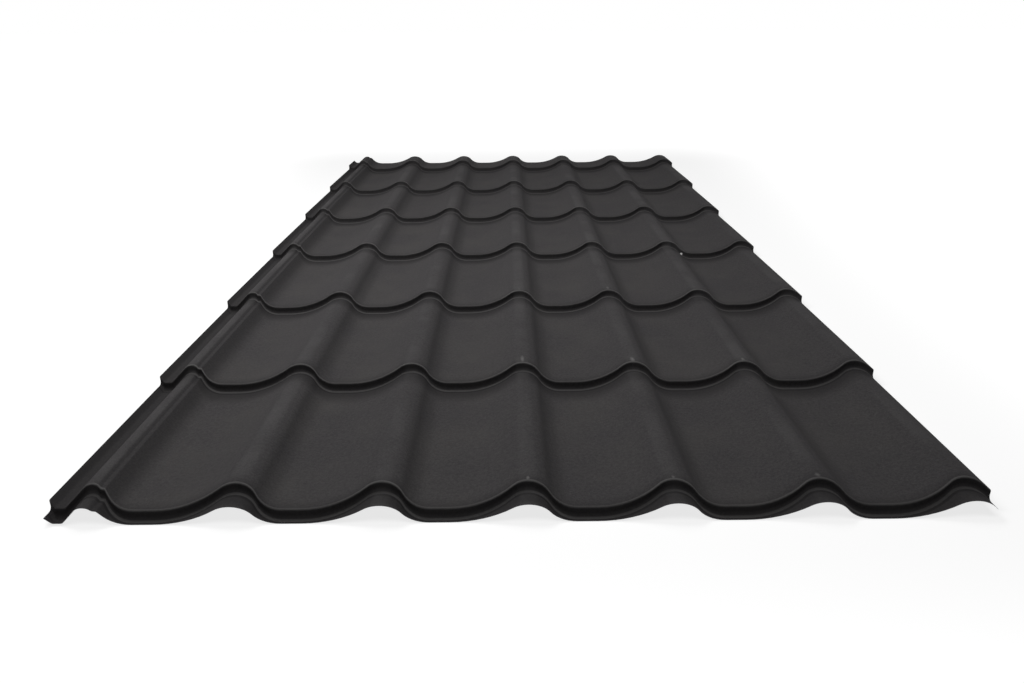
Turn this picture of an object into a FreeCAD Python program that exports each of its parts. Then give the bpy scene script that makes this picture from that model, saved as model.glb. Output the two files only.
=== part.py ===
"""Tile effect metal roofing sheet, as a FreeCAD document.

The sheet is one piece of thin steel. Seen from the side it is a flight of shallow steps, and seen
from the front it is a row of waves. Its step folds lean forward from crest to trough, so the stair
section is carried, without turning, along a wave that lies in the leaning fold plane.
"""
import FreeCAD, Part
import math
import os
import Sketcher

# Millimetres and degrees. Radii and flank angles of the wave are measured in the leaning fold
# plane, and heights are measured straight up.
SIZES = {
    "cover_width": 1100,
    "wave_count": 6,
    "wave_depth": 25,
    "crest_radius": 31.5,
    "toe_radius": 40,
    "trough_flat": 25,
    "fold_lean": 45,
    "step_count": 7,
    "tile_length": 350,
    "step_height": 14,
    "sheet_length": 2230,
    "front_lip": 34,
    "sheet_thickness": 0.5,
    "left_overhang": 45,
    "edge_crest_shift": 4.5,
    "edge_crest_radius": 13,
    "edge_flank_angle": 55,
    "ledge_start_angle": 61,
    "ledge_width": 5.2,
    "ledge_slope": 10,
    "groove_depth": 21.5,
    "groove_radius": 5,
    "tip_wall_angle": 50,
    "tip_drop": 14,
    "right_overhang": 29,
    "tail_angle": 50,
    "trim_allowance": 5,
}

# Expressions that several features share. The tip of the left edge is the body's own origin.
LEAN_SINE = "sin(Sizes.fold_lean * 1 deg)"
LEAN_TANGENT = "tan(Sizes.fold_lean * 1 deg)"
PITCH = "Sizes.cover_width / Sizes.wave_count"
SLOPE = "Sizes.step_height / Sizes.tile_length"
TROUGH_DROP = f"(Sizes.wave_depth / (1 + {SLOPE}) - Sizes.tip_drop)"
OVERALL_WIDTH = "(Sizes.left_overhang + Sizes.cover_width + Sizes.right_overhang)"
FRONT_CUT = f"(Sizes.tip_drop / {LEAN_TANGENT} - Sizes.front_lip)"
REAR_CUT = f"({FRONT_CUT} + Sizes.sheet_length)"


def make_sheet(doc):
    """Put every driving size in the spreadsheet under its own alias."""
    sheet = doc.addObject("Spreadsheet::Sheet", "Sizes")
    for row, (alias, value) in enumerate(SIZES.items(), start=1):
        sheet.set(f"A{row}", alias.replace("_", " "))
        sheet.set(f"B{row}", str(value))
        sheet.setAlias(f"B{row}", alias)
    doc.recompute()


def make_sketch(body, name, role):
    """Add a sketch on one of the body's own origin planes."""
    sketch = body.newObject("Sketcher::SketchObject", name)
    plane = next(item for item in body.Origin.OriginFeatures if item.Role == role)
    sketch.AttachmentSupport = [(plane, "")]
    sketch.MapMode = "FlatFace"
    return sketch


def relate(sketch, kind, *places):
    """Add a constraint without a size."""
    sketch.addConstraint(Sketcher.Constraint(kind, *places))


def bind(sketch, expression, kind, *places):
    """Add a dimension with its drawn value, then tie it to the spreadsheet."""
    index = sketch.addConstraint(Sketcher.Constraint(kind, *places))
    sketch.setExpression(f"Constraints[{index}]", expression)


class Chain:
    """A run of lines and arcs in a sketch, each one tangent to the one before it or at a corner."""

    def __init__(self, sketch):
        self.sketch = sketch
        self.x = 0.0
        self.y = 0.0
        self.last = None

    def join(self, index, start, end, kind="Tangent"):
        """Tie a new edge to the end of the chain and return its index."""
        if self.last is not None:
            relate(self.sketch, kind, *self.last, index, start)
        self.last = (index, end)
        return index

    def line(self, heading, length, kind="Tangent"):
        """Add a straight edge."""
        start = FreeCAD.Vector(self.x, self.y, 0)
        self.x += length * math.cos(heading)
        self.y += length * math.sin(heading)
        edge = Part.LineSegment(start, FreeCAD.Vector(self.x, self.y, 0))
        return self.join(self.sketch.addGeometry(edge, False), 1, 2, kind)

    def arc(self, heading, end_heading, radius):
        """Add a round edge that turns from one heading to the other."""
        turn = 1 if end_heading > heading else -1
        center_x = self.x - turn * radius * math.sin(heading)
        center_y = self.y + turn * radius * math.cos(heading)
        circle = Part.Circle(FreeCAD.Vector(center_x, center_y, 0), FreeCAD.Vector(0, 0, 1), radius)
        self.x = center_x + turn * radius * math.sin(end_heading)
        self.y = center_y - turn * radius * math.cos(end_heading)
        angles = sorted([heading - turn * math.pi / 2, end_heading - turn * math.pi / 2])
        index = self.sketch.addGeometry(Part.ArcOfCircle(circle, *angles), False)
        ends = (1, 2) if turn > 0 else (2, 1)
        return self.join(index, *ends)


class WaveShape:
    """The wave in the fold plane, worked out once from the driving sizes to draw the sketch."""

    def __init__(self):
        self.lean = math.sin(math.radians(SIZES["fold_lean"]))
        slope = SIZES["step_height"] / SIZES["tile_length"]
        self.depth = SIZES["wave_depth"] / (1 + slope) / self.lean
        self.crest = SIZES["crest_radius"]
        self.toe = SIZES["toe_radius"]
        self.pitch = SIZES["cover_width"] / SIZES["wave_count"]
        self.toe_heading = math.acos(1 - self.depth / (self.crest + self.toe))
        self.toe_run = (self.crest + self.toe) * math.sin(self.toe_heading)
        self.heel_run = self.pitch - self.toe_run - SIZES["trough_flat"]
        self.heel_heading = 2 * math.atan(self.depth / self.heel_run)
        self.heel = self.heel_run / math.sin(self.heel_heading) - self.crest


def draw_groove(chain, wave):
    """Tip wall, capillary groove and the flank up to the edge crest."""
    sketch = chain.sketch
    wall = math.radians(SIZES["tip_wall_angle"])
    flank = math.radians(SIZES["edge_flank_angle"])
    radius, crest = SIZES["groove_radius"], SIZES["edge_crest_radius"]
    wall_drop = (SIZES["groove_depth"] - SIZES["tip_drop"]) / wave.lean - radius * (1 - math.cos(wall))
    flank_rise = SIZES["groove_depth"] / wave.lean - (radius + crest) * (1 - math.cos(flank))
    wall_run = wall_drop / math.tan(wall) + radius * math.sin(wall)
    flank_run = flank_rise / math.tan(flank) + (radius + crest) * math.sin(flank)
    floor_run = SIZES["left_overhang"] + SIZES["edge_crest_shift"] - wall_run - flank_run
    tip_wall = chain.line(-wall, wall_drop / math.sin(wall))
    left_bend = chain.arc(-wall, 0, radius)
    floor = chain.line(0, floor_run)
    right_bend = chain.arc(0, flank, radius)
    rise = chain.line(flank, flank_rise / math.sin(flank))
    relate(sketch, "Coincident", tip_wall, 1, -1, 1)
    relate(sketch, "Horizontal", floor)
    relate(sketch, "Equal", left_bend, right_bend)
    bind(sketch, "-Sizes.tip_wall_angle", "Angle", tip_wall, -wall)
    bind(sketch, "Sizes.groove_radius", "Radius", left_bend, radius)
    bind(sketch, "Sizes.edge_flank_angle", "Angle", rise, flank)
    bind(sketch, f"(Sizes.groove_depth - Sizes.tip_drop) / {LEAN_SINE}",
         "DistanceY", floor, 1, -1, 1, (SIZES["groove_depth"] - SIZES["tip_drop"]) / wave.lean)


def draw_crest(chain, rise_heading, fall_heading, radius):
    """One crest, as two arcs that meet on its top line."""
    rise = chain.arc(rise_heading, 0, radius)
    fall = chain.arc(0, -fall_heading, radius)
    relate(chain.sketch, "Equal", rise, fall)
    relate(chain.sketch, "Vertical", rise, 3, rise, 1)
    return rise, fall


def draw_edge_crest(chain, wave):
    """Narrow crest that the next sheet covers, with the ledge where that sheet's edge lies."""
    sketch = chain.sketch
    flank = math.radians(SIZES["edge_flank_angle"])
    slope = math.radians(SIZES["ledge_slope"])
    start = math.radians(SIZES["ledge_start_angle"])
    radius, width = SIZES["edge_crest_radius"], SIZES["ledge_width"]
    ledge_drop = radius * (1 - math.cos(start)) + width * math.sin(slope)
    fall = wave.depth - ledge_drop - wave.toe * (1 - math.cos(flank))
    run = radius * math.sin(start) + width * math.cos(slope)
    run += fall / math.tan(flank) + wave.toe * math.sin(flank)
    crest = draw_crest(chain, flank, start, radius)[0]
    ledge = chain.line(-slope, width, "Coincident")
    lower_flank = chain.line(-flank, fall / math.sin(flank), "Coincident")
    toe = chain.arc(-flank, 0, wave.toe)
    trough = chain.line(0, wave.pitch - SIZES["edge_crest_shift"] - run - wave.heel_run)
    relate(sketch, "Horizontal", trough)
    bind(sketch, "Sizes.edge_crest_radius", "Radius", crest, radius)
    bind(sketch, "Sizes.toe_radius", "Radius", toe, wave.toe)
    bind(sketch, "-Sizes.ledge_slope", "Angle", ledge, -slope)
    bind(sketch, "-Sizes.edge_flank_angle", "Angle", lower_flank, -flank)
    bind(sketch, "Sizes.ledge_width", "Distance", ledge, width)
    bind(sketch, "Sizes.edge_crest_radius * sin(Sizes.ledge_start_angle * 1 deg)",
         "DistanceX", crest, 3, ledge, 1, radius * math.sin(start))
    bind(sketch, "Sizes.left_overhang + Sizes.edge_crest_shift", "DistanceX", -1, 1, crest, 3,
         SIZES["left_overhang"] + SIZES["edge_crest_shift"])
    bind(sketch, f"Sizes.tip_drop / {LEAN_SINE} - Sizes.edge_crest_radius", "DistanceY", -1, 1, crest, 3,
         SIZES["tip_drop"] / wave.lean - radius)
    bind(sketch, f"{TROUGH_DROP} / {LEAN_SINE}", "DistanceY", trough, 1, -1, 1,
         wave.depth - SIZES["tip_drop"] / wave.lean)
    return toe, trough


def draw_waves(chain, wave, first_toe, first_trough):
    """Every crest after the edge crest, each with its long heel and the trough that follows it."""
    sketch = chain.sketch
    heels, crests = [], []
    for number in range(1, SIZES["wave_count"] + 1):
        last = number == SIZES["wave_count"]
        fall_heading = math.radians(SIZES["tail_angle"]) if last else wave.toe_heading
        heels.append(chain.arc(0, wave.heel_heading, wave.heel))
        rise, fall = draw_crest(chain, wave.heel_heading, fall_heading, wave.crest)
        crests.append(rise)
        bind(sketch, f"Sizes.left_overhang + {number} * {PITCH}", "DistanceX", -1, 1, rise, 3,
             SIZES["left_overhang"] + number * wave.pitch)
        if not last:
            toe = chain.arc(-wave.toe_heading, 0, wave.toe)
            trough = chain.line(0, SIZES["trough_flat"])
            relate(sketch, "Equal", first_toe, toe)
            relate(sketch, "Horizontal", trough)
            relate(sketch, "Horizontal", first_trough, 1, trough, 1)
    for heel, crest in zip(heels[1:], crests[1:]):
        relate(sketch, "Equal", heels[0], heel)
        relate(sketch, "Equal", crests[0], crest)
        relate(sketch, "Horizontal", crests[0], 3, crest, 3)
    bind(sketch, "Sizes.trough_flat", "Distance", trough, SIZES["trough_flat"])
    bind(sketch, "Sizes.crest_radius", "Radius", crests[0], wave.crest)
    bind(sketch, f"Sizes.tip_drop / {LEAN_SINE} - Sizes.crest_radius", "DistanceY", -1, 1, crests[0], 3,
         SIZES["tip_drop"] / wave.lean - wave.crest)
    return fall


def draw_right_edge(chain, wave, last_crest):
    """Straight tail that ends part way down the last crest's far flank."""
    sketch = chain.sketch
    tail = math.radians(SIZES["tail_angle"])
    run = SIZES["right_overhang"] - wave.crest * math.sin(tail)
    edge = chain.line(-tail, run / math.cos(tail))
    bind(sketch, "-Sizes.tail_angle", "Angle", edge, -tail)
    bind(sketch, "Sizes.right_overhang", "DistanceX", last_crest, 3, edge, 2, SIZES["right_overhang"])


def draw_wave_path(body):
    """Centre the whole width of waves on the leaning fold plane, from the left tip to the right cut."""
    sketch = make_sketch(body, "wave_path", "XZ_Plane")
    turn = FreeCAD.Rotation(FreeCAD.Vector(1, 0, 0), -SIZES["fold_lean"])
    sketch.AttachmentOffset = FreeCAD.Placement(FreeCAD.Vector(), turn)
    sketch.setExpression("AttachmentOffset.Rotation.Angle", "-Sizes.fold_lean")
    chain = Chain(sketch)
    wave = WaveShape()
    draw_groove(chain, wave)
    first_toe, first_trough = draw_edge_crest(chain, wave)
    last_crest = draw_waves(chain, wave, first_toe, first_trough)
    draw_right_edge(chain, wave, last_crest)
    return sketch


def stair_corners():
    """Upper corners of the stair section from front to rear, with the first fold at the origin."""
    lean = math.tan(math.radians(SIZES["fold_lean"]))
    slope = SIZES["step_height"] / SIZES["tile_length"]
    front = -SIZES["front_lip"] - SIZES["trim_allowance"]
    corners = [(front, -SIZES["step_height"] - front * slope)]
    for step in range(SIZES["step_count"]):
        corners.append((step * SIZES["tile_length"], -SIZES["step_height"]))
        corners.append((step * SIZES["tile_length"], 0))
    trough_reach = (SIZES["wave_depth"] / (1 + slope)) / lean
    rear = SIZES["sheet_length"] - SIZES["front_lip"] + trough_reach + SIZES["trim_allowance"]
    corners.append((rear, -(rear - corners[-1][0]) * slope))
    return corners


def draw_stair_section(body):
    """Closed outline of the steps and the tiles between them, one sheet thick."""
    sketch = make_sketch(body, "stair_section", "YZ_Plane")
    thickness = SIZES["sheet_thickness"]
    slope = SIZES["step_height"] / SIZES["tile_length"]
    upper = stair_corners()
    lower = [(y + thickness, z - thickness * (1 + slope)) for y, z in upper]
    lower[0] = (upper[0][0], upper[0][1] - thickness)
    lower[-1] = (upper[-1][0], upper[-1][1] - thickness)
    corners = [FreeCAD.Vector(y, z, 0) for y, z in upper + lower[::-1]]
    ends = corners[1:] + corners[:1]
    edges = [sketch.addGeometry(Part.LineSegment(start, end), False) for start, end in zip(corners, ends)]
    for edge, following in zip(edges, edges[1:] + edges[:1]):
        relate(sketch, "Coincident", edge, 2, following, 1)
    count = len(upper) - 1
    size_upper_edges(sketch, edges[:count], upper)
    size_lower_edges(sketch, edges[:count], edges[count + 1:-1][::-1], thickness)
    relate(sketch, "Vertical", edges[count])
    relate(sketch, "Vertical", edges[-1])
    return sketch


def size_upper_edges(sketch, edges, upper):
    """Stand the risers up, set their height and the tile length, and lengthen both ends."""
    risers, tiles = edges[1::2], edges[0::2]
    relate(sketch, "Coincident", risers[0], 2, -1, 1)
    bind(sketch, "Sizes.step_height", "DistanceY", risers[0], 1, risers[0], 2, SIZES["step_height"])
    for riser in risers:
        relate(sketch, "Vertical", riser)
    for riser in risers[1:]:
        relate(sketch, "Equal", risers[0], riser)
        relate(sketch, "Horizontal", risers[0], 2, riser, 2)
    for tile in tiles[1:-1]:
        bind(sketch, "Sizes.tile_length", "DistanceX", tile, 1, tile, 2, SIZES["tile_length"])
    relate(sketch, "Parallel", tiles[1], tiles[0])
    relate(sketch, "Parallel", tiles[1], tiles[-1])
    bind(sketch, "Sizes.front_lip + Sizes.trim_allowance", "DistanceX", tiles[0], 1, tiles[0], 2,
         -upper[0][0])
    bind(sketch, "Sizes.sheet_length - Sizes.front_lip + Sizes.trim_allowance"
         f" + Sizes.wave_depth / (1 + {SLOPE}) / {LEAN_TANGENT}",
         "DistanceX", -1, 1, tiles[-1], 2, upper[-1][0])


def size_lower_edges(sketch, upper_edges, lower_edges, thickness):
    """Hold each lower edge parallel to the edge above it, one sheet thickness away."""
    for above, below in zip(upper_edges, lower_edges):
        relate(sketch, "Parallel", above, below)
        bind(sketch, "Sizes.sheet_thickness", "Distance", below, 1, above, thickness)


def sweep_stairs(body, section, path):
    """Carry the stair section along the wave without turning it."""
    pipe = body.newObject("PartDesign::AdditivePipe", "waved_stairs")
    pipe.Profile = section
    pipe.Spine = (path, [])
    pipe.Mode = "Fixed"
    pipe.Transition = "Transformed"
    return pipe


def trim(body, name, start):
    """Cut one end of the sheet straight, from the given place outwards."""
    box = body.newObject("PartDesign::SubtractiveBox", name)
    reach = "(Sizes.wave_depth + Sizes.step_height + Sizes.front_lip + Sizes.tile_length)"
    box.setExpression("Length", f"{OVERALL_WIDTH} + 2 * Sizes.trim_allowance")
    box.setExpression("Width", reach)
    box.setExpression("Height", f"2 * {reach}")
    box.setExpression("Placement.Base.x", "-Sizes.trim_allowance")
    box.setExpression("Placement.Base.y", start.format(reach=reach))
    box.setExpression("Placement.Base.z", f"-{reach}")
    return box


def make_roofing_sheet(doc):
    """The whole pressed sheet, lying flat, centred, with its lowest folds on the floor."""
    body = doc.addObject("PartDesign::Body", "roofing_sheet")
    body.Label = "roofing_sheet"
    section = draw_stair_section(body)
    path = draw_wave_path(body)
    doc.recompute()
    sweep_stairs(body, section, path)
    doc.recompute()
    trim(body, "front_trim", FRONT_CUT + " - {reach}")
    doc.recompute()
    trim(body, "rear_trim", REAR_CUT)
    doc.recompute()
    body.setExpression("Placement.Base.x", f"-{OVERALL_WIDTH} / 2")
    body.setExpression("Placement.Base.y", f"-({FRONT_CUT} + {REAR_CUT}) / 2")
    body.setExpression("Placement.Base.z",
                       f"{TROUGH_DROP} + Sizes.step_height + Sizes.sheet_thickness * (1 + {SLOPE})")
    doc.recompute()
    return body


def check_document(doc):
    """Stop if any object failed or any solid is empty or broken."""
    for item in doc.Objects:
        if "Invalid" in item.State or "Error" in item.State:
            raise RuntimeError(f"{item.Name} is {item.State}")
        if hasattr(item, "Shape") and item.TypeId.startswith("PartDesign::"):
            if item.Shape.isNull() or not item.Shape.isValid():
                raise RuntimeError(f"{item.Name} has no sound shape")


def write_parts(bodies):
    """Write each body to a file of its own."""
    os.makedirs("parts", exist_ok=True)
    for body in bodies:
        body.Shape.exportStep(f"parts/{body.Label}.step")


def main():
    """Build the document and write its one part."""
    doc = FreeCAD.newDocument("roofing_sheet_model")
    make_sheet(doc)
    sheet = make_roofing_sheet(doc)
    check_document(doc)
    write_parts([sheet])


main()
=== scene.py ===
"""Looks of the tile effect roofing sheet: the pressed sheet itself, its coating and a plain studio."""

import math

import bpy
import numpy as np
from mathutils import Matrix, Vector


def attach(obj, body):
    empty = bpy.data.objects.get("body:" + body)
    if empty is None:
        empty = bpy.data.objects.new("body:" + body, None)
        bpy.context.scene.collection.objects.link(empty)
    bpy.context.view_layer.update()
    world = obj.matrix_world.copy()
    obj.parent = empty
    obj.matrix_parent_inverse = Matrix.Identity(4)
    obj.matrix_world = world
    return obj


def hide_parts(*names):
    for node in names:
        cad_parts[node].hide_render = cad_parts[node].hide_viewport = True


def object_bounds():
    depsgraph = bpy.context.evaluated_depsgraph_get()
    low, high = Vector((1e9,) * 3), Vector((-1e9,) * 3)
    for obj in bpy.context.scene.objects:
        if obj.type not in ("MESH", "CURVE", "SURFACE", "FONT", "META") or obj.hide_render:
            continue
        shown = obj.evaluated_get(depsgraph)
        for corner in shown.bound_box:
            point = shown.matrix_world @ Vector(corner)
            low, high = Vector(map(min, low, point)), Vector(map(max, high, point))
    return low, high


bl_info = {
    "name": "Tile effect roofing sheet",
    "version": (1, 0, 0),
    "blender": (4, 5, 0),
    "location": "3D View > Sidebar > Roofing sheet",
    "description": "Adds a pressed steel roofing sheet with its grained coating, and a studio",
    "category": "Add Mesh",
}

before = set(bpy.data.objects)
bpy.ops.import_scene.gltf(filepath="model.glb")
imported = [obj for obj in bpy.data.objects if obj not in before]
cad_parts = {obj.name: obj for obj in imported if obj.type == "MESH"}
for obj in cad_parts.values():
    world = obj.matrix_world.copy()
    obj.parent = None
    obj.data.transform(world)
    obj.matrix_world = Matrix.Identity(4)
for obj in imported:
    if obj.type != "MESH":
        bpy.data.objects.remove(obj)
CAD_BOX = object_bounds()

# Rows of points on the lip in front of the first step, and along a tile as parts of its length.
FRONT_ROWS = 3
TILE_ROWS = np.array([0.02, 0.12, 0.35, 0.62, 0.88, 0.98])

# Points across the press line in front of a step, and round the fold at its top.
CREASE_POINTS = 5
FOLD_POINTS = 7

# Largest share of the lip that the first press line may take up, where the lip is short.
LIP_SHARE = 0.9

# Middle and reach of the one chip, on the face of the fourth step beside the fifth whole crest.
CHIP_PLACE = (0.4097, -0.0485, 0.0110)
CHIP_REACH = (0.0036, 0.0050, 0.0036)

# Sockets of a Mix node that carry colours, and the kinds of socket that a node group has.
MIX_FIRST, MIX_SECOND, MIX_RESULT = 6, 7, 2
NUMBER, VECTOR = "NodeSocketFloat", "NodeSocketVector"


def length(name, description, default):
    """A length in metres, shown in the scene's own units."""
    return bpy.props.FloatProperty(name=name, description=description, default=default,
                                   min=0.0, precision=5, unit="LENGTH")


def angle(name, description, degrees):
    """An angle that is kept in radians and shown in degrees."""
    return bpy.props.FloatProperty(name=name, description=description,
                                   default=math.radians(degrees), unit="ROTATION")


def amount(name, description, default):
    """A plain number from nothing to one."""
    return bpy.props.FloatProperty(name=name, description=description, default=default,
                                   min=0.0, max=1.0, subtype="FACTOR")


def colour(name, description, default):
    """A colour in linear light."""
    return bpy.props.FloatVectorProperty(name=name, description=description, default=default,
                                         size=3, min=0.0, max=1.0, subtype="COLOR")


class SheetSizes(bpy.types.PropertyGroup):
    """Sizes of the sheet's waves, steps and edges."""
    cover_width: length("Cover width", "Width that the sheet covers once it is lapped", 1.1)
    wave_count: bpy.props.IntProperty(name="Waves", description="Whole waves across the sheet",
                                      default=6, min=1)
    wave_depth: length("Wave depth", "Height from trough to crest", 0.025)
    crest_radius: length("Crest radius", "Radius of the crests in the fold plane", 0.0315)
    toe_radius: length("Toe radius", "Radius at the foot of the steep side", 0.040)
    trough_flat: length("Trough flat", "Width of the flat strip in a trough", 0.025)
    step_count: bpy.props.IntProperty(name="Steps", description="Pressed steps along the sheet",
                                      default=7, min=1)
    tile_length: length("Tile length", "Distance from one step to the next", 0.350)
    step_height: length("Step height", "Height of each riser", 0.014)
    sheet_length: length("Sheet length", "Distance between the two straight cuts", 2.230)
    front_lip: length("Front lip", "Length of the lip in front of the first step, at a crest", 0.034)
    thickness: length("Thickness", "Thickness of the coated steel", 0.0005)
    left_overhang: length("Left overhang", "From the left tip to the edge crest's cover line", 0.045)
    right_overhang: length("Right overhang", "From the last crest to the right cut", 0.029)
    edge_crest_shift: length("Edge crest shift", "How far the narrow crest stands inwards", 0.0045)
    edge_crest_radius: length("Edge crest radius", "Radius of the narrow crest", 0.013)
    edge_flank: angle("Edge flank", "Slope of the narrow crest's two sides", 55)
    ledge_start: angle("Ledge start", "Turn of the narrow crest before its ledge", 61)
    ledge_width: length("Ledge width", "Width of the ledge that the next sheet's edge lies on", 0.0052)
    ledge_slope: angle("Ledge slope", "Fall of the ledge", 10)
    ledge_bend: length("Ledge bend", "Radius of the bend behind the ledge", 0.002)
    groove_depth: length("Groove depth", "Depth of the capillary groove below the crests", 0.0215)
    groove_radius: length("Groove radius", "Radius of the groove's two bends", 0.005)
    tip_wall: angle("Tip wall", "Slope of the wall at the left edge", 50)
    tip_drop: length("Tip drop", "How far the left tip lies below the crests", 0.014)
    tail_slope: angle("Tail slope", "Slope of the last flank where it is cut", 50)
    fold_radius: length("Fold radius", "Radius of the fold at the top of a step", 0.0020)
    foot_radius: length("Foot radius", "Radius of the fold at the foot of a step", 0.0060)
    crease_depth: length("Crease depth", "Depth of the press line in front of a step", 0.00018)
    crease_offset: length("Crease offset", "From the riser to the middle of the press line", 0.0094)
    crease_width: length("Crease width", "Width of the press line", 0.0054)


class CoatingFinish(bpy.types.PropertyGroup):
    """Colours and surface of the coating, the backing coat and the bare edge, with the amounts of painted
    highlight and painted shade in the coating's colour.
    """
    coat: colour("Coating", "Colour of the coating", (0.0575, 0.0545, 0.0555))
    coat_dark: colour("Dark grains", "Colour of the coating's darker grains", (0.0385, 0.0365, 0.0380))
    dust: colour("Dust", "Colour of the thin dust that lies in the troughs", (0.082, 0.078, 0.072))
    highlit: colour("Highlit coating", "Colour where the coating is polished or rubbed", (0.135, 0.132, 0.130))
    # Colour of the painted highlights on the folds, the feet of the steps, the crests and a few small
    # glints; on the folds it stands partly for wear.
    chip: colour("Chip", "Colour of the primer that shows in a chip", (0.78, 0.77, 0.76))
    backing: colour("Backing coat", "Colour of the thin coat on the underside", (0.105, 0.108, 0.112))
    steel: colour("Steel", "Colour of the bare cut edge", (0.30, 0.30, 0.31))
    grain_size: length("Grain size", "Size of the coating's grains", 0.0018)
    grain_depth: length("Grain depth", "Height of the coating's grains", 0.00010)
    roughness: amount("Roughness", "How matt the coating is", 0.80)
    gloss: amount("Gloss", "Strength of the coating's reflections", 0.045)
    # From here down to the crest amount, the amounts paint light and shade into the coating's colour:
    # painted highlights on the folds, partly for wear, along the feet of the steps and on the crests, and
    # painted shade in front of a step, in the groove, by the ledge, on a step's face, in the hollows and in
    # the press lines.
    fold_highlight: amount("Fold polish", "How much lighter the coating is on the step folds", 0.55)
    foot_light: amount("Foot line", "How much lighter the coating is along the foot of a step", 0.30)
    foot_shading: amount("Foot grime", "How much darker the coating is in front of a step", 0.60)
    groove_shading: amount("Groove grime", "How much darker the coating is in the capillary groove", 0.58)
    ledge_shading: amount("Ledge grime", "How much darker the coating is on both sides of the ledge", 0.34)
    riser_shading: amount("Riser grime", "How much darker the coating is on the face of a step", 0.28)
    hollow_shading: amount("Hollow grime", "How much darker the foot of each steep side is", 0.17)
    crease_shading: amount("Press line grime", "How much darker the coating is in a press line", 0.60)
    crest_sheen: amount("Crest sheen", "How much lighter the crests are, as a painted sheen", 0.16)
    dust_amount: amount("Dust amount", "How much of the dust shows", 0.22)


class StudioSettings(bpy.types.PropertyGroup):
    """Camera and light of the studio."""
    camera_x: bpy.props.FloatProperty(name="Camera X", description="Camera's place across the sheet",
                                      default=-0.01656, unit="LENGTH")
    camera_y: bpy.props.FloatProperty(name="Camera Y", description="Camera's place along the sheet",
                                      default=-1.94023, unit="LENGTH")
    camera_z: length("Camera Z", "Camera's height above the floor", 0.60145)
    tilt: angle("Tilt", "How far the camera looks down", 23.4659)
    turn: angle("Turn", "Camera's turn about the upright", -0.4562)
    roll: angle("Roll", "Camera's roll about its own line of sight", 0.2479)
    lens: bpy.props.FloatProperty(name="Lens", description="Focal length on a 36 mm wide sensor",
                                  default=28.379, min=1.0, unit="CAMERA")
    left_power: bpy.props.FloatProperty(name="Left lamp", description="Power of the lamp over the left edge",
                                        default=17.0, min=0.0, unit="POWER")
    top_power: bpy.props.FloatProperty(name="Top lamp", description="Power of the lamp over the sheet",
                                       default=8.0, min=0.0, unit="POWER")
    front_power: bpy.props.FloatProperty(name="Front lamp", description="Power of the lamp above the camera",
                                         default=21.0, min=0.0, unit="POWER")
    room_light: amount("Room light", "Strength of the light from all round", 0.02)


def bend(start, heading, end_heading, radius, count):
    """Points along an arc: the centre lies one radius to the side that the arc turns to, and each
    point lies one radius from it, square to its own heading. The start point is left out."""
    side = math.copysign(1.0, end_heading - heading)
    headings = np.linspace(heading, end_heading, count + 1)[1:]
    centre = start + side * radius * np.array([-math.sin(heading), math.cos(heading)])
    return centre + side * radius * np.stack([np.sin(headings), -np.cos(headings)], axis=1)


def run(start, heading, distance, count):
    """Points along a straight line: start plus the distance times the heading's cosine and sine."""
    steps = np.linspace(0.0, distance, count + 1)[1:, None]
    return start + steps * np.array([math.cos(heading), math.sin(heading)])


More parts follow.
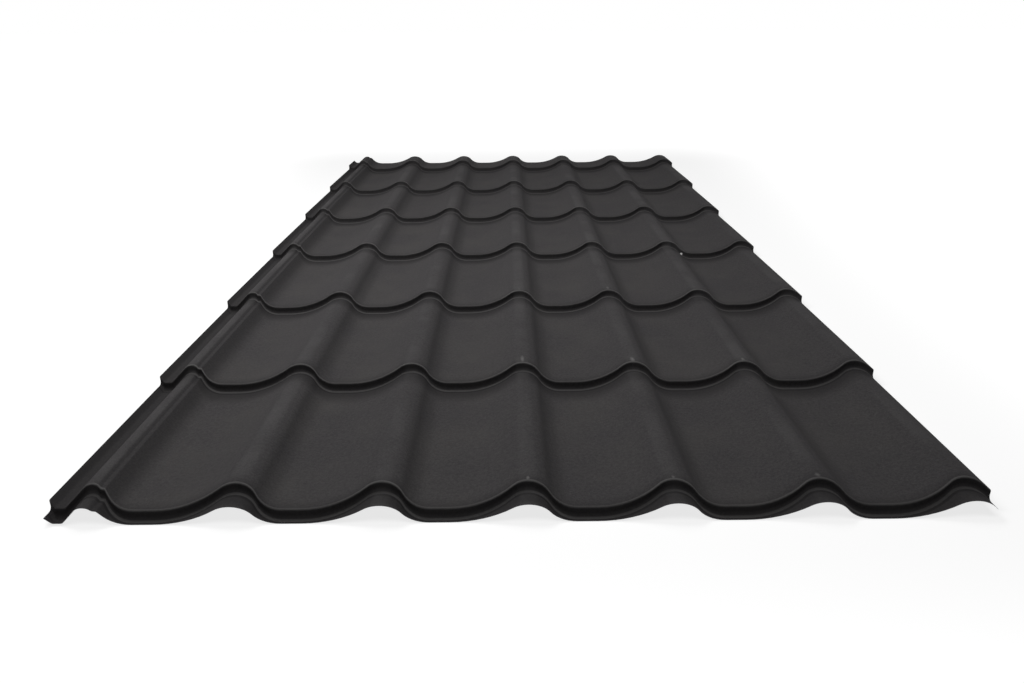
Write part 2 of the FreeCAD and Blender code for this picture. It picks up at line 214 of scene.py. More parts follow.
def wave_path(sizes):
    """Whole width of the wave as points (x, s) in the fold plane, which leans by 45 degrees. It is
    a chain of arcs and lines, each starting where the last one ends: tip wall, capillary groove,
    narrow crest with its ledge, then crest, steep toe, flat trough and long heel for every wave."""
    lean = math.sqrt(0.5)
    slope = sizes.step_height / sizes.tile_length
    depth = sizes.wave_depth / (1 + slope) / lean
    floor = -(sizes.groove_depth - sizes.tip_drop) / lean
    top = sizes.tip_drop / lean
    crest, toe, flank = sizes.crest_radius, sizes.toe_radius, sizes.edge_flank
    toe_heading = math.acos(1 - depth / (crest + toe))
    toe_run = (crest + toe) * math.sin(toe_heading)
    pitch = sizes.cover_width / sizes.wave_count
    heel_run = pitch - toe_run - sizes.trough_flat
    heel_heading = 2 * math.atan(depth / heel_run)
    heel = heel_run / math.sin(heel_heading) - crest

    pieces = [np.zeros((1, 2))]

    def end():
        return pieces[-1][-1]

    wall = sizes.tip_wall
    groove = sizes.groove_radius
    bend_drop = groove * (1 - math.cos(wall))
    pieces.append(run(end(), -wall, (-floor - bend_drop) / math.sin(wall), 2))
    pieces.append(bend(end(), -wall, 0.0, groove, 5))
    narrow = sizes.edge_crest_radius
    apex = np.array([sizes.left_overhang + sizes.edge_crest_shift, top])
    rise_end = apex + narrow * np.array([-math.sin(flank), math.cos(flank) - 1])
    rise = rise_end[1] - floor - groove * (1 - math.cos(flank))
    rise_start = rise_end[0] - rise / math.tan(flank) - groove * math.sin(flank)
    pieces.append(run(end(), 0.0, rise_start - end()[0], 2))
    pieces.append(bend(end(), 0.0, flank, groove, 5))
    pieces.append(run(end(), flank, rise / math.sin(flank), 2))
    pieces.append(bend(end(), flank, 0.0, narrow, 6))
    # The bend into the ledge starts before the narrow crest has turned fully, and is twice as wide
    # as the bend out of it.
    soft = sizes.ledge_bend
    trim = soft * math.tan((sizes.ledge_start - sizes.ledge_slope) / 2)
    turned = sizes.ledge_start * 5 / 6
    pieces.append(bend(end(), 0.0, -turned, narrow, 5))
    pieces.append(bend(end(), -turned, -sizes.ledge_slope, 2 * soft, 4))
    pieces.append(run(end(), -sizes.ledge_slope, sizes.ledge_width - 2 * trim, 1))
    pieces.append(bend(end(), -sizes.ledge_slope, -flank, soft, 4))
    fall = end()[1] - (top - depth) - toe * (1 - math.cos(flank))
    pieces.append(run(end(), -flank, fall / math.sin(flank), 1))
    pieces.append(bend(end(), -flank, 0.0, toe, 6))
    for number in range(1, sizes.wave_count + 1):
        apex_x = sizes.left_overhang + number * pitch
        pieces.append(run(end(), 0.0, apex_x - heel_run - end()[0], 1))
        pieces.append(bend(end(), 0.0, heel_heading, heel, 8))
        pieces.append(bend(end(), heel_heading, 0.0, crest, 6))
        if number < sizes.wave_count:
            pieces.append(bend(end(), 0.0, -toe_heading, crest, 9))
            pieces.append(bend(end(), -toe_heading, 0.0, toe, 7))
    tail = sizes.tail_slope
    pieces.append(bend(end(), 0.0, -tail, crest, 7))
    tail_run = sizes.right_overhang - crest * math.sin(tail)
    pieces.append(run(end(), -tail, tail_run / math.cos(tail), 1))
    return np.concatenate(pieces)


def step_profile(sizes):
    """One step as points (y, z) from front to rear, with the riser's face at y = 0 and the fold's
    corner at z = 0. The press line is one period of a raised cosine, and both folds are arcs that
    turn by a quarter plus the tile's own fall."""
    slope = sizes.step_height / sizes.tile_length
    fall = math.atan(slope)
    turn = math.pi / 2 + fall
    foot = sizes.foot_radius * math.tan(turn / 2)
    half = sizes.crease_width / 2
    y = -sizes.crease_offset + half * np.linspace(-1.0, 1.0, CREASE_POINTS)
    dip = sizes.crease_depth * 0.5 * (1 + np.cos(np.pi * (y + sizes.crease_offset) / half))
    crease = np.stack([y, -sizes.step_height - slope * y - dip], axis=1)
    start = np.array([-foot * math.cos(fall), -sizes.step_height + foot * math.sin(fall)])
    fillet = bend(start, -fall, math.pi / 2, sizes.foot_radius, 6)
    fold = sizes.fold_radius * math.tan(turn / 2)
    riser = run(fillet[-1], math.pi / 2, -fold - fillet[-1][1], 2)
    top = bend(riser[-1], math.pi / 2, -fall, sizes.fold_radius, FOLD_POINTS)
    return np.concatenate([crease, start[None, :], fillet, riser, top])


def stair_rows(sizes, ahead, squeeze=True):
    """The whole stair as points (y, z) for every column of the wave: the fixed profile of each
    step, and between two steps a straight tile that falls evenly. The first and last stretch run
    to the straight cuts, so their length is the cut's place less the column's own lead, ahead. In
    a trough the lip is shorter than the first press line, which is then squeezed towards the foot
    in proportion."""
    slope = sizes.step_height / sizes.tile_length
    profile = step_profile(sizes)
    front = sizes.tip_drop - sizes.front_lip - ahead
    rear = front + sizes.sheet_length
    columns = len(ahead)
    rows = []
    first = np.repeat(profile[:, None, :], columns, axis=1)
    if squeeze:
        foot_end = profile[CREASE_POINTS, 0]
        crease = first[:CREASE_POINTS]
        share = np.minimum(1.0, LIP_SHARE * (foot_end - front) / (foot_end - profile[0, 0]))
        dip = crease[:, :, 1] + sizes.step_height + slope * crease[:, :, 0]
        crease[:, :, 0] = foot_end + share * (crease[:, :, 0] - foot_end)
        crease[:, :, 1] = dip * share - sizes.step_height - slope * crease[:, :, 0]
    weights = np.linspace(0.0, 1.0, FRONT_ROWS + 1)[:-1]
    y = front + weights[:, None] * (first[0, :, 0] - front)
    rows.append(np.stack([y, -sizes.step_height - slope * y], axis=2))
    for step in range(sizes.step_count):
        place = step * sizes.tile_length
        fixed = profile + np.array([place, 0.0])
        rows.append(first if step == 0 else np.repeat(fixed[:, None, :], columns, axis=1))
        last = step == sizes.step_count - 1
        end = rear if last else np.full(columns, place + sizes.tile_length + profile[0, 0])
        marks = np.append(TILE_ROWS, 1.0) if last else TILE_ROWS
        y = fixed[-1, 0] + marks[:, None] * (end - fixed[-1, 0])
        rows.append(np.stack([y, -slope * (y - place)], axis=2))
    return np.concatenate(rows)


def sheet_surface(sizes):
    """Upper face of the sheet as a grid of points, and the same grid one thickness below. A point
    is the wave's point plus the stair's point: x from the wave, and y and z the wave's height in
    the leaning plane shared equally between them, plus the stair's own y and z."""
    lean = math.sqrt(0.5)
    path = wave_path(sizes)
    ahead = path[:, 1] * lean
    stair = stair_rows(sizes, ahead)
    rows, columns = stair.shape[:2]
    upper = np.empty((rows, columns, 3))
    upper[:, :, 0] = path[:, 0]
    upper[:, :, 1] = ahead + stair[:, :, 0]
    upper[:, :, 2] = ahead + stair[:, :, 1]
    along = np.gradient(stair, axis=0)
    along /= np.linalg.norm(along, axis=2, keepdims=True)
    slope = sizes.step_height / sizes.tile_length
    lower = upper.copy()
    lower[:, :, 1] += sizes.thickness * along[:, :, 1]
    lower[:, :, 2] -= sizes.thickness * along[:, :, 0]
    lower[0, :, 1], lower[-1, :, 1] = upper[0, :, 1], upper[-1, :, 1]
    shift = np.array([
        -(sizes.left_overhang + sizes.cover_width + sizes.right_overhang) / 2,
        -(sizes.tip_drop - sizes.front_lip) - sizes.sheet_length / 2,
        sizes.wave_depth / (1 + slope) - sizes.tip_drop + sizes.step_height
        + sizes.thickness * (1 + slope),
    ])
    return upper + shift, lower + shift


def unrolled_places(sizes):
    """For every grid point its place on the flattened sheet: the distance across it, the distance
    up the stair from the middle of the first fold, and its height in the wave from 0 to 1. With it
    come the distances of the first press line, the first foot's lower end and the next fold."""
    path = wave_path(sizes)
    stair = stair_rows(sizes, path[:, 1] * math.sqrt(0.5), squeeze=False)
    steps = np.linalg.norm(np.diff(stair, axis=0), axis=2)
    along = np.concatenate([np.zeros((1, len(path))), np.cumsum(steps, axis=0)])
    profile = len(step_profile(sizes))
    middle = FRONT_ROWS + profile - (FOLD_POINTS + 1) // 2
    along -= along[middle]
    across = np.broadcast_to(path[:, 0], along.shape)
    low, high = path[:, 1].min(), path[:, 1].max()
    rise = np.broadcast_to((path[:, 1] - low) / (high - low), along.shape)
    marks = {"crease": float(along[FRONT_ROWS + CREASE_POINTS // 2, 0]),
             "foot": float(along[FRONT_ROWS + CREASE_POINTS, 0]),
             "next fold": float(along[middle + profile + len(TILE_ROWS), 0])}
    return np.stack([across, along, rise], axis=2), marks


def closed_sheet(upper):
    """Corner numbers of every face: the upper grid, the lower grid turned over, and a band of
    narrow faces along the four cut edges that joins the two grids. With them comes the number
    of faces in the band, which stand last."""
    rows, columns = upper.shape[:2]
    grid = np.arange(rows * columns).reshape(rows, columns)
    a, b, c, d = grid[:-1, :-1], grid[:-1, 1:], grid[1:, 1:], grid[1:, :-1]
    top = np.stack([a, b, c, d], axis=-1).reshape(-1, 4)
    bottom = top[:, ::-1] + rows * columns
    rim = np.concatenate([grid[0, :-1], grid[:-1, -1], grid[-1, :0:-1], grid[:0:-1, 0]])
    following = np.roll(rim, -1)
    below = rows * columns
    band = np.stack([rim, rim + below, following + below, following], axis=-1)
    return np.concatenate([top, bottom, band]), len(band)


def grid_mesh(name, points, faces, smooth=True):
    """A mesh from whole arrays of points and four cornered faces."""
    mesh = bpy.data.meshes.new(name)
    mesh.vertices.add(len(points))
    mesh.vertices.foreach_set("co", np.ascontiguousarray(points, dtype=np.float32).ravel())
    mesh.loops.add(faces.size)
    mesh.loops.foreach_set("vertex_index", np.ascontiguousarray(faces, dtype=np.int32).ravel())
    mesh.polygons.add(len(faces))
    mesh.polygons.foreach_set("loop_start", np.arange(0, faces.size, 4, dtype=np.int32))
    mesh.polygons.foreach_set("use_smooth", np.full(len(faces), smooth))
    mesh.update(calc_edges=True)
    mesh.validate()
    return mesh


def show(mesh):
    """Put a mesh in the scene as an object of the same name."""
    piece = bpy.data.objects.new(mesh.name, mesh)
    bpy.context.scene.collection.objects.link(piece)
    return piece


def feed(tree, socket, value):
    """Set an input: join it to an output socket, or give it a plain value."""
    if isinstance(value, bpy.types.NodeSocket):
        tree.links.new(value, socket)
    else:
        socket.default_value = value


def node(tree, kind, at, **values):
    """Add a shader node at a spot in its editor. A value named in_ and an input's name feeds that
    input, and any other value is a setting of the node."""
    item = tree.nodes.new(kind)
    item.location = at
    for name, value in values.items():
        if name.startswith("in_"):
            feed(tree, item.inputs[name[3:].replace("_", " ")], value)
        else:
            setattr(item, name, value)
    return item


def maths(tree, at, operation, *sides):
    """A Math node. Each side is an output socket or a plain number."""
    item = node(tree, "ShaderNodeMath", at, operation=operation)
    for socket, side in zip(item.inputs, sides):
        feed(tree, socket, side)
    return item.outputs["Value"]


def vector_maths(tree, at, operation, *sides):
    """A Vector Math node. Each side is an output socket or three plain numbers."""
    item = node(tree, "ShaderNodeVectorMath", at, operation=operation)
    for socket, side in zip(item.inputs, sides):
        feed(tree, socket, side)
    return item.outputs["Value" if operation == "LENGTH" else "Vector"]


def ramp(tree, at, source, start, end, low=0.0, high=1.0, smooth=False):
    """A value that goes from low to high while its source goes from start to end, and stays there
    beyond them. The way between is straight, or eased at both ends where smooth."""
    kind = "SMOOTHSTEP" if smooth else "LINEAR"
    item = node(tree, "ShaderNodeMapRange", at, interpolation_type=kind, in_Value=source,
                in_From_Min=start, in_From_Max=end, in_To_Min=low, in_To_Max=high)
    return item.outputs["Result"]


def noise(tree, at, place, scale, detail, roughness=0.5):
    """Soft noise over a place, between 0 and 1."""
    item = node(tree, "ShaderNodeTexNoise", at, in_Vector=place, in_Scale=scale, in_Detail=detail,
                in_Roughness=roughness)
    return item.outputs["Fac"]


def blend_colours(tree, at, factor, first, second):
    """Mix two colours by a factor. A side is an output socket or a plain colour."""
    item = node(tree, "ShaderNodeMix", at, data_type="RGBA", in_Factor=factor)
    for socket, side in ((MIX_FIRST, first), (MIX_SECOND, second)):
        plain = not isinstance(side, bpy.types.NodeSocket)
        feed(tree, item.inputs[socket], (*side, 1.0) if plain else side)
    return item.outputs[MIX_RESULT]


def darker(shade, share):
    """A plain colour brought down to a share of its light."""
    return tuple(share * part for part in shade)


def start_group(name, inputs, outputs):
    """A shader node group with named sockets, and its two end nodes."""
    tree = bpy.data.node_groups.new(name, "ShaderNodeTree")
    for socket, kind in inputs.items():
        tree.interface.new_socket(name=socket, in_out="INPUT", socket_type=kind)
    for socket, kind in outputs.items():
        tree.interface.new_socket(name=socket, in_out="OUTPUT", socket_type=kind)
    return tree, node(tree, "NodeGroupInput", (-900, 0)), node(tree, "NodeGroupOutput", (700, 0))


def place_group(tree, group, at, **values):
    """Put a group in a material. Each value feeds the input of the same name."""
    item = node(tree, "ShaderNodeGroup", at, node_tree=group)
    for name, value in values.items():
        feed(tree, item.inputs[name.replace("_", " ").title()], value)
    return item


def make_grain_group():
    """Grain of a rough baked coating: fine grains with larger lumps under them, as a tone around
    one half and as a height."""
    lump_density, lump_tone, lump_height = 0.40, 0.50, 0.30
    tone_low, tone_high = 0.375, 0.625
    tree, start, end = start_group("coating_grain", {"Place": VECTOR, "Grain Size": NUMBER},
                                   {"Tone": NUMBER, "Height": NUMBER})
    place = start.outputs["Place"]
    density = maths(tree, (-700, -200), "DIVIDE", 1.0, start.outputs["Grain Size"])
    lump_scale = maths(tree, (-600, -350), "MULTIPLY", density, lump_density)
    fine = noise(tree, (-400, 200), place, density, 2.0, 0.55)
    lumps = noise(tree, (-400, -100), place, lump_scale, 3.0, 0.6)
    fine_tone = maths(tree, (-250, 350), "MULTIPLY", fine, 1 - lump_tone)
    tone = maths(tree, (-100, 100), "MULTIPLY_ADD", lumps, lump_tone, fine_tone)
    lump_rise = maths(tree, (-250, -350), "MULTIPLY", lumps, lump_height)
    height = maths(tree, (-100, -200), "MULTIPLY_ADD", fine, 1 - lump_height, lump_rise)
    feed(tree, end.inputs["Tone"], ramp(tree, (200, 100), tone, tone_low, tone_high))
    feed(tree, end.inputs["Height"], height)
    return tree


def make_line_group():
    """Soft line at one distance: one within the half width of its centre, fading to nothing over
    the softness."""
    inputs = {"Distance": NUMBER, "Centre": NUMBER, "Half Width": NUMBER, "Softness": NUMBER}
    tree, start, end = start_group("soft_line", inputs, {"Mask": NUMBER})
    half = start.outputs["Half Width"]
    offset = maths(tree, (-600, 100), "SUBTRACT", start.outputs["Distance"], start.outputs["Centre"])
    away = maths(tree, (-400, 100), "ABSOLUTE", offset)
    outer = maths(tree, (-400, -150), "ADD", half, start.outputs["Softness"])
    feed(tree, end.inputs["Mask"], ramp(tree, (-100, 0), away, half, outer, 1.0, 0.0, smooth=True))
    return tree


def make_mark_group():
    """Soft oval mark with a broken edge: the distance from its centre, divided by its reach in
    each direction and roughened by noise, fades from one to nothing."""
    full, gone = 0.55, 1.6
    inputs = {"Place": VECTOR, "Centre": VECTOR, "Reach": VECTOR, "Strength": NUMBER}
    # The same mark makes the small painted glints and the one chip.
    tree, start, end = start_group("glint_and_chip_mark", inputs, {"Mask": NUMBER})
    place = start.outputs["Place"]
    offset = vector_maths(tree, (-650, 100), "SUBTRACT", place, start.outputs["Centre"])
    scaled = vector_maths(tree, (-450, 100), "DIVIDE", offset, start.outputs["Reach"])
    away = vector_maths(tree, (-250, 100), "LENGTH", scaled)
    broken = maths(tree, (-50, 0), "ADD", away, noise(tree, (-450, -200), place, 420.0, 3.0))
    fade = ramp(tree, (150, 0), broken, full, gone, 1.0, 0.0, smooth=True)
    mask = maths(tree, (400, 0), "MULTIPLY", fade, start.outputs["Strength"])
    feed(tree, end.inputs["Mask"], mask)
    return tree


def new_material(name):
    """A material with its shader, and the place on the object that its patterns read."""
    material = bpy.data.materials.new(name)
    material.use_nodes = True
    tree = material.node_tree
    shader = tree.nodes["Principled BSDF"]
    shader.location = (900, 0)
    tree.nodes["Material Output"].location = (1250, 0)
    return material, tree, shader, node(tree, "ShaderNodeTexCoord", (-1900, 0)).outputs["Object"]


def add_grain_bump(tree, shader, height, depth, strength):
    """Lead a height into the shader's normal."""
    bump = node(tree, "ShaderNodeBump", (600, -350), in_Strength=strength, in_Distance=depth,
                in_Height=height)
    feed(tree, shader.inputs["Normal"], bump.outputs["Normal"])


def painted_glint_places(sizes):
    """Centre, reach and strength of each small painted glint, a painted highlight on a crest just behind a
    step's fold. Each is named by its crest, its step, its distance behind the fold, its two half
    sizes and its strength."""
    marks = ((3, 0, 0.006, 0.003, 0.006, 0.8), (4, 0, 0.005, 0.003, 0.006, 0.6),
             (5, 0, 0.008, 0.004, 0.006, 0.6), (3, 1, 0.016, 0.004, 0.018, 0.75),
             (4, 1, 0.011, 0.005, 0.014, 0.85), (5, 1, 0.008, 0.004, 0.010, 0.7),
             (4, 2, 0.014, 0.004, 0.012, 0.5), (3, 2, 0.010, 0.003, 0.010, 0.4))
    reach_up = 0.02
    pitch = sizes.cover_width / sizes.wave_count
    left = -(sizes.left_overhang + sizes.cover_width + sizes.right_overhang) / 2
    front = -sizes.sheet_length / 2 + sizes.front_lip
    top = sizes.wave_depth / (1 + sizes.step_height / sizes.tile_length) + sizes.step_height
    for crest, step, behind, across, along, strength in marks:
        x = left + sizes.left_overhang + crest * pitch
        y = front + step * sizes.tile_length + behind
        yield (x, y, top), (across, along, reach_up), strength


def soft_lines(tree, group, at, distance, shapes):
    """A soft line for each named shape, which is its centre, half width and softness. The masks
    come back by the same names."""
    masks = {}
    for row, (name, (centre, half_width, softness)) in enumerate(shapes.items()):
        line = place_group(tree, group, (at[0], at[1] - 200 * row), distance=distance,
                           centre=centre, half_width=half_width, softness=softness)
        masks[name] = line.outputs["Mask"]
    return masks


def coating_fields(tree, place, sizes, marks, group):
    """What the coating's looks go by, each under its name: the place, the distance across, the
    rise in the wave, clouds of noise and the patches in them, the groove, and the soft lines that
    every step repeats, which are placed by their distance up the sheet from a fold's middle."""
    unrolled = node(tree, "ShaderNodeAttribute", (-1900, -400), attribute_name="unrolled")
    parts = node(tree, "ShaderNodeSeparateXYZ", (-1700, -400), in_Vector=unrolled.outputs["Vector"])
    across = parts.outputs["X"]
    # A tile's stretch starts this far in front of its step, so that the painted shade in front of the foot
    # is in it.
    ahead = 0.08
    along = maths(tree, (-1500, -400), "WRAP", parts.outputs["Y"], marks["next fold"] - ahead, -ahead)
    lines = soft_lines(tree, group, (-1200, -300), along, {
        # Soft lines that each step repeats: fold and foot place painted highlights; crease, the shade in
        # front of a step and riser place painted shade.
        "fold": (0.0002, 0.0008, 0.0022),
        "foot": (marks["foot"] + 0.0020, 0.0012, 0.0016),
        "crease": (marks["crease"], 0.0010, 0.0016),
        "shading": (marks["crease"], 0.0040, 0.0420),
        "riser": (marks["foot"] / 2, 0.0040, 0.0040),
    })
    clouds = noise(tree, (-1500, 600), place, 9.0, 4.0, 0.55)
    # The groove gets painted shade, and keeps the painted highlights of the folds and feet out of it.
    groove_floor_end, groove_wall_end = 0.018, sizes.left_overhang + 0.002
    groove = ramp(tree, (-1200, -100), across, groove_floor_end, groove_wall_end, 1.0, 0.0, smooth=True)
    return {"place": place, "across": across, "rise": parts.outputs["Z"], "clouds": clouds,
            "patches": ramp(tree, (-1200, 650), clouds, 0.38, 0.68), "groove": groove, **lines}


def dusty_colour(tree, finish, tone, fields):
    """The coating's colour by its grain, with thin dust in patches on the low parts of the wave."""
    clean = blend_colours(tree, (-1100, 400), tone, finish.coat_dark, finish.coat)
    low = maths(tree, (-1200, 100), "SUBTRACT", 1.0, fields["rise"])
    settled = maths(tree, (-1000, 150), "MULTIPLY", low, fields["patches"])
    dust = maths(tree, (-900, 250), "MULTIPLY", settled, finish.dust_amount)
    return blend_colours(tree, (-800, 400), dust, clean, finish.dust)


def painted_shade_mask(tree, sizes, finish, group, fields):
    """Where painted shade darkens the coating. It is the strongest of the painted shade in front of a
    step, on its face, in the capillary groove, on both sides of the ledge and where a steep side
    meets its trough."""
    left = sizes.left_overhang
    # Painted shade on both sides of the ledge.
    ledge = soft_lines(tree, group, (-1200, -1300), fields["across"], {
        "crest side": (left + 0.0132, 0.0012, 0.0035),
        "trough side": (left + 0.0270, 0.0060, 0.0140),
    })
    # Painted shade where each steep side meets its trough.
    pitch = sizes.cover_width / sizes.wave_count
    within_wave = maths(tree, (-1500, -1800), "WRAP", fields["across"], left + pitch, left)
    hollow = soft_lines(tree, group, (-1200, -1800), within_wave, {"hollow": (left + 0.035, 0.004, 0.013)})
    # Painted shade: in front of a step, on its face, in the groove, by the ledge and in the hollows.
    masks = ((fields["shading"], finish.foot_shading), (fields["riser"], finish.riser_shading),
             (fields["groove"], finish.groove_shading), (ledge["crest side"], finish.ledge_shading),
             (ledge["trough side"], finish.ledge_shading), (hollow["hollow"], finish.hollow_shading))
    strongest = 0.0
    for row, (mask, strength) in enumerate(masks):
        shading = maths(tree, (-900, -200 - 150 * row), "MULTIPLY", mask, strength)
        strongest = maths(tree, (-750, -200 - 150 * row), "MAXIMUM", strongest, shading)
    return strongest


def painted_highlight_mask(tree, sizes, finish, group, fields):
    """Where painted highlights lighten the coating: on the folds, more so high in the wave and partly
    for wear, along the feet of the steps, as a painted sheen on the crests, and as small painted
    glints. The groove stays clear of the first two."""
    trough_share, cloud_lift = 0.45, 0.45
    crest_start, crest_full = 0.90, 0.995
    rise = fields["rise"]
    # Painted highlight on the folds, partly for wear, stronger high in the wave.
    high = maths(tree, (-900, -600), "MULTIPLY_ADD", rise, 1 - trough_share, trough_share)
    fold_by_height = maths(tree, (-700, -600), "MULTIPLY", fields["fold"], high)
    lifted = maths(tree, (-750, -450), "ADD", fields["clouds"], cloud_lift)
    uneven = maths(tree, (-600, -500), "MULTIPLY", fold_by_height, lifted)
    highlight = maths(tree, (-500, -600), "MULTIPLY", uneven, finish.fold_highlight)
    # Painted highlight along the foot of each step.
    foot = maths(tree, (-500, -800), "MULTIPLY", fields["foot"], finish.foot_light)
    clear = maths(tree, (-600, -750), "SUBTRACT", 1.0, fields["groove"])
    on_step = maths(tree, (-400, -650), "MAXIMUM", highlight, foot)
    step_highlights = maths(tree, (-350, -650), "MULTIPLY", on_step, clear)
    # Painted sheen along the crests, in patches.
    crest = ramp(tree, (-900, -900), rise, crest_start, crest_full, smooth=True)
    patchy = maths(tree, (-700, -900), "MULTIPLY", crest, fields["patches"])
    crest_sheen = maths(tree, (-500, -900), "MULTIPLY", patchy, finish.crest_sheen)
    highlit = maths(tree, (-300, -700), "MAXIMUM", step_highlights, crest_sheen)
    # Small painted glints on crests just behind the folds.
    for row, (centre, reach, strength) in enumerate(painted_glint_places(sizes)):
        mark = place_group(tree, group, (-500, -1000 - 200 * row), place=fields["place"],
                           centre=centre, reach=reach, strength=strength)
        highlit = maths(tree, (-100, -1000 - 200 * row), "MAXIMUM", highlit, mark.outputs["Mask"])
    return highlit


def coating_material(finish, sizes, marks, groups):
    """Rough dark coating. Grain gives tone and bump, and dust lies in the troughs. Painted shade darkens
    it, the press lines get darker painted shade still, painted highlights lighten it, on the folds
    partly for wear, and one riser has a small chip."""
    # Shares of the dark grains' colour for the painted shade, and for the darker painted shade in the press
    # lines.
    painted_shade_share, crease_shade = 0.35, 0.40
    polish_drop, grain_roughness, bump_strength = 0.22, 0.08, 0.7
    material, tree, shader, place = new_material("dark_coating")
    grain = place_group(tree, groups["grain"], (-1500, 300), place=place, grain_size=finish.grain_size)
    fields = coating_fields(tree, place, sizes, marks, groups["line"])
    dusty = dusty_colour(tree, finish, grain.outputs["Tone"], fields)
    shading = painted_shade_mask(tree, sizes, finish, groups["line"], fields)
    shaded = blend_colours(tree, (-600, 400), shading, dusty, darker(finish.coat_dark, painted_shade_share))
    # Darker painted shade along the press lines.
    crease = maths(tree, (-600, -100), "MULTIPLY", fields["crease"], finish.crease_shading)
    pressed = blend_colours(tree, (-450, 400), crease, shaded, darker(finish.coat_dark, crease_shade))
    # Painted highlights lighten the coating, on the folds partly for wear.
    highlit = painted_highlight_mask(tree, sizes, finish, groups["mark"], fields)
    highlighted = blend_colours(tree, (200, 300), highlit, pressed, finish.highlit)
    chip = place_group(tree, groups["mark"], (100, 500), place=place, centre=CHIP_PLACE,
                       reach=CHIP_REACH, strength=1.0)
    chipped = blend_colours(tree, (400, 300), chip.outputs["Mask"], highlighted, finish.chip)
    feed(tree, shader.inputs["Base Color"], chipped)
    level = ramp(tree, (300, -50), highlit, 0.0, 1.0, finish.roughness, finish.roughness - polish_drop)
    rough = maths(tree, (600, -50), "MULTIPLY_ADD", grain.outputs["Tone"], grain_roughness, level)
    feed(tree, shader.inputs["Roughness"], rough)
    shader.inputs["Specular IOR Level"].default_value = finish.gloss
    add_grain_bump(tree, shader, grain.outputs["Height"], finish.grain_depth, bump_strength)
    return material


def backing_material(finish, groups):
    """Thin plain coat of the underside, with faint roller streaks along the sheet."""
    grain_share, depth_share, bump_strength = 0.6, 0.4, 0.4
    streak_shade, smooth_part, rough_part = 0.72, 0.5, 0.66
    material, tree, shader, place = new_material("backing_coat")
    grain = place_group(tree, groups["grain"], (-1300, 200), place=place,
                        grain_size=finish.grain_size * grain_share)
    stretch = node(tree, "ShaderNodeMapping", (-1500, -200), in_Vector=place, in_Scale=(160.0, 3.0, 3.0))
    streaks = noise(tree, (-1300, -200), stretch.outputs["Vector"], 1.0, 3.0)
    both = maths(tree, (-900, 0), "MULTIPLY", grain.outputs["Tone"], streaks)
    streaked = blend_colours(tree, (-500, 100), both, darker(finish.backing, streak_shade), finish.backing)
    feed(tree, shader.inputs["Base Color"], streaked)
    level = ramp(tree, (-500, -200), streaks, 0.0, 1.0, smooth_part, rough_part)
    feed(tree, shader.inputs["Roughness"], level)
    shader.inputs["Specular IOR Level"].default_value = 0.25
    add_grain_bump(tree, shader, grain.outputs["Height"], finish.grain_depth * depth_share, bump_strength)
    return material


def edge_material(finish, groups):
    """Bare sheared steel of the cut edges, dulled in spots."""
    grain_share, depth_share, bump_strength = 0.5, 0.5, 0.5
    dull_shade, smooth_part, rough_part = 0.45, 0.38, 0.6
    material, tree, shader, place = new_material("cut_edge")
    grain = place_group(tree, groups["grain"], (-1300, 200), place=place,
                        grain_size=finish.grain_size * grain_share)
    tone = grain.outputs["Tone"]
    dull = blend_colours(tree, (-500, 100), tone, darker(finish.steel, dull_shade), finish.steel)
    feed(tree, shader.inputs["Base Color"], dull)
    shader.inputs["Metallic"].default_value = 0.8
    level = ramp(tree, (-500, -200), tone, 0.0, 1.0, smooth_part, rough_part)
    feed(tree, shader.inputs["Roughness"], level)
    add_grain_bump(tree, shader, grain.outputs["Height"], finish.grain_depth * depth_share, bump_strength)
    return material


class ROOF_OT_add_sheet(bpy.types.Operator):
    """Add the pressed sheet with its waves, steps, folds and cut edges"""
    bl_idname = "roof.add_sheet"
    bl_label = "Roofing sheet"
    bl_options = {"REGISTER", "UNDO"}

    def execute(self, context):
        sizes = context.scene.roof_sheet_sizes
        finish = context.scene.roof_coating
        upper, lower = sheet_surface(sizes)
        places, marks = unrolled_places(sizes)
        faces, band = closed_sheet(upper)
        points = np.concatenate([upper.reshape(-1, 3), lower.reshape(-1, 3)])
        mesh = grid_mesh("pressed_sheet", points, faces)
        mesh.set_sharp_from_angle(angle=math.radians(60))
        unrolled = mesh.attributes.new("unrolled", "FLOAT_VECTOR", "POINT")
        twice = np.concatenate([places.reshape(-1, 3)] * 2).astype(np.float32)
        unrolled.data.foreach_set("vector", twice.ravel())
        groups = {"grain": make_grain_group(), "line": make_line_group(), "mark": make_mark_group()}
        mesh.materials.append(coating_material(finish, sizes, marks, groups))
        mesh.materials.append(backing_material(finish, groups))
        mesh.materials.append(edge_material(finish, groups))
        side_faces = (len(faces) - band) // 2
        slots = np.repeat([0, 1, 2], [side_faces, side_faces, band]).astype(np.int32)
        mesh.polygons.foreach_set("material_index", slots)
        sheet = show(mesh)
        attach(sheet, "root")
        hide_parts("roofing_sheet")
        return {"FINISHED"}


def seen(tree, at):
    """One for rays from the camera, in gloss and through glass, and nothing for all others."""
    path = node(tree, "ShaderNodeLightPath", at)
    result = path.outputs["Is Camera Ray"]
    for column, ray in enumerate(("Is Glossy Ray", "Is Transmission Ray"), 1):
        result = maths(tree, (at[0] + 200 * column, at[1]), "MAXIMUM", result, path.outputs[ray])
    return result


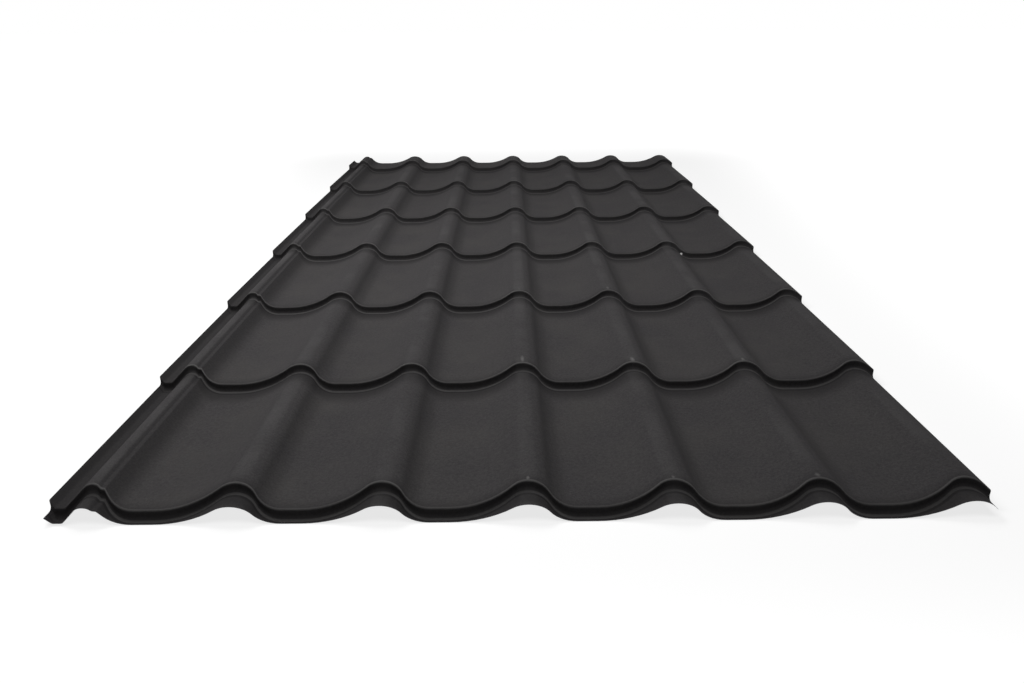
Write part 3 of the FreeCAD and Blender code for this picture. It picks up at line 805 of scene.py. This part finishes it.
def make_floor():
    """A level square of pale floor. The camera sees it white, apart from the sheet's shadow: its
    glow is lower beneath the sheet and rises to full over a short way beyond it."""
    half = 12.0
    near, far, glow_beneath = 0.02, 0.6, 0.78
    corners = half * np.array([[-1, -1, 0], [1, -1, 0], [1, 1, 0], [-1, 1, 0]], dtype=float)
    mesh = grid_mesh("studio_floor", corners, np.array([[0, 1, 2, 3]]), smooth=False)
    material, tree, shader, place = new_material("pale_floor")
    shader.inputs["Base Color"].default_value = (0.30, 0.30, 0.30, 1.0)
    shader.inputs["Roughness"].default_value = 0.9
    shader.inputs["Specular IOR Level"].default_value = 0.0
    shader.inputs["Emission Color"].default_value = (1.0, 1.0, 1.0, 1.0)
    half_plan = tuple(max(abs(low), abs(high)) for low, high in zip(*CAD_BOX))[:2]
    folded = vector_maths(tree, (-1700, -600), "ABSOLUTE", place)
    beside = vector_maths(tree, (-1500, -600), "SUBTRACT", folded, (*half_plan, 0.0))
    outside = vector_maths(tree, (-1300, -600), "MAXIMUM", beside, (0.0, 0.0, 0.0))
    reach = vector_maths(tree, (-1100, -600), "LENGTH", outside)
    fade = ramp(tree, (-900, -600), reach, near, far, glow_beneath, 1.0, smooth=True)
    glow = maths(tree, (-300, -300), "MULTIPLY", seen(tree, (-900, -300)), fade)
    feed(tree, shader.inputs["Emission Strength"], glow)
    mesh.materials.append(material)
    floor = show(mesh)


def make_world(scene, strength):
    """Pale light from all round, which the camera and gloss see as white."""
    world = bpy.data.worlds.new("studio_world")
    scene.world = world
    world.use_nodes = True
    tree = world.node_tree
    back = tree.nodes["Background"]
    back.inputs["Color"].default_value = (1.0, 1.0, 1.0, 1.0)
    level = ramp(tree, (-300, -200), seen(tree, (-900, -200)), 0.0, 1.0, strength, 1.0)
    feed(tree, back.inputs["Strength"], level)


def make_lamp(name, place, aim, size, power):
    """A soft rectangular lamp that looks from its place to its aim, which isn't straight below."""
    data = bpy.data.lights.new(name, "AREA")
    data.shape = "RECTANGLE"
    data.size, data.size_y = size
    data.energy = power
    lamp = bpy.data.objects.new(name, data)
    bpy.context.scene.collection.objects.link(lamp)
    line = np.array(aim, dtype=float) - np.array(place, dtype=float)
    line /= np.linalg.norm(line)
    side = np.cross(line, [0.0, 0.0, 1.0])
    side /= np.linalg.norm(side)
    up = np.cross(side, line)
    turn = Matrix(np.array([side, up, -line]).T.tolist()).to_4x4()
    turn.translation = place
    lamp.matrix_world = turn


class ROOF_OT_add_studio(bpy.types.Operator):
    """Add the pale floor, the soft lamps and the camera"""
    bl_idname = "roof.add_studio"
    bl_label = "Studio"
    bl_options = {"REGISTER", "UNDO"}

    def execute(self, context):
        scene = context.scene
        studio = scene.roof_studio
        make_floor()
        make_world(scene, studio.room_light)
        aim = (-0.1, 0.2, 0.0)
        for name, place, size, power in (
                ("left_lamp", (-0.8, -0.4, 1.6), (0.7, 0.9), studio.left_power),
                ("top_lamp", (-0.5, 0.3, 1.7), (0.8, 0.8), studio.top_power),
                ("front_lamp", (-0.1, -1.6, 2.2), (1.4, 1.0), studio.front_power)):
            make_lamp(name, place, aim, size, power)
        data = bpy.data.cameras.new("photo_camera")
        data.sensor_width = 36.0
        data.sensor_fit = "HORIZONTAL"
        data.lens = studio.lens
        data.clip_end = 100.0
        camera = bpy.data.objects.new("photo_camera", data)
        scene.collection.objects.link(camera)
        camera.location = (studio.camera_x, studio.camera_y, studio.camera_z)
        camera.rotation_euler = (math.pi / 2 - studio.tilt, studio.roll, studio.turn)
        scene.camera = camera
        scene.view_settings.view_transform = "Standard"
        return {"FINISHED"}


class ROOF_PT_sidebar(bpy.types.Panel):
    """Panel that lists the sheet and the studio"""
    bl_label = "Roofing sheet"
    bl_idname = "ROOF_PT_sidebar"
    bl_space_type = "VIEW_3D"
    bl_region_type = "UI"
    bl_category = "Roofing sheet"

    def draw(self, context):
        scene = context.scene
        for operator, settings in (("roof.add_sheet", scene.roof_sheet_sizes),
                                   (None, scene.roof_coating),
                                   ("roof.add_studio", scene.roof_studio)):
            box = self.layout.box()
            if operator:
                box.operator(operator)
            for name in settings.__annotations__:
                box.prop(settings, name)


CLASSES = (SheetSizes, CoatingFinish, StudioSettings, ROOF_OT_add_sheet, ROOF_OT_add_studio,
           ROOF_PT_sidebar)


def register():
    for item in CLASSES:
        bpy.utils.register_class(item)
    bpy.types.Scene.roof_sheet_sizes = bpy.props.PointerProperty(type=SheetSizes)
    bpy.types.Scene.roof_coating = bpy.props.PointerProperty(type=CoatingFinish)
    bpy.types.Scene.roof_studio = bpy.props.PointerProperty(type=StudioSettings)


def unregister():
    del bpy.types.Scene.roof_studio
    del bpy.types.Scene.roof_coating
    del bpy.types.Scene.roof_sheet_sizes
    for item in reversed(CLASSES):
        bpy.utils.unregister_class(item)


def main():
    """Make the sheet and the studio."""
    register()
    bpy.ops.roof.add_sheet()
    bpy.ops.roof.add_studio()


if __name__ == "__main__":
    main()
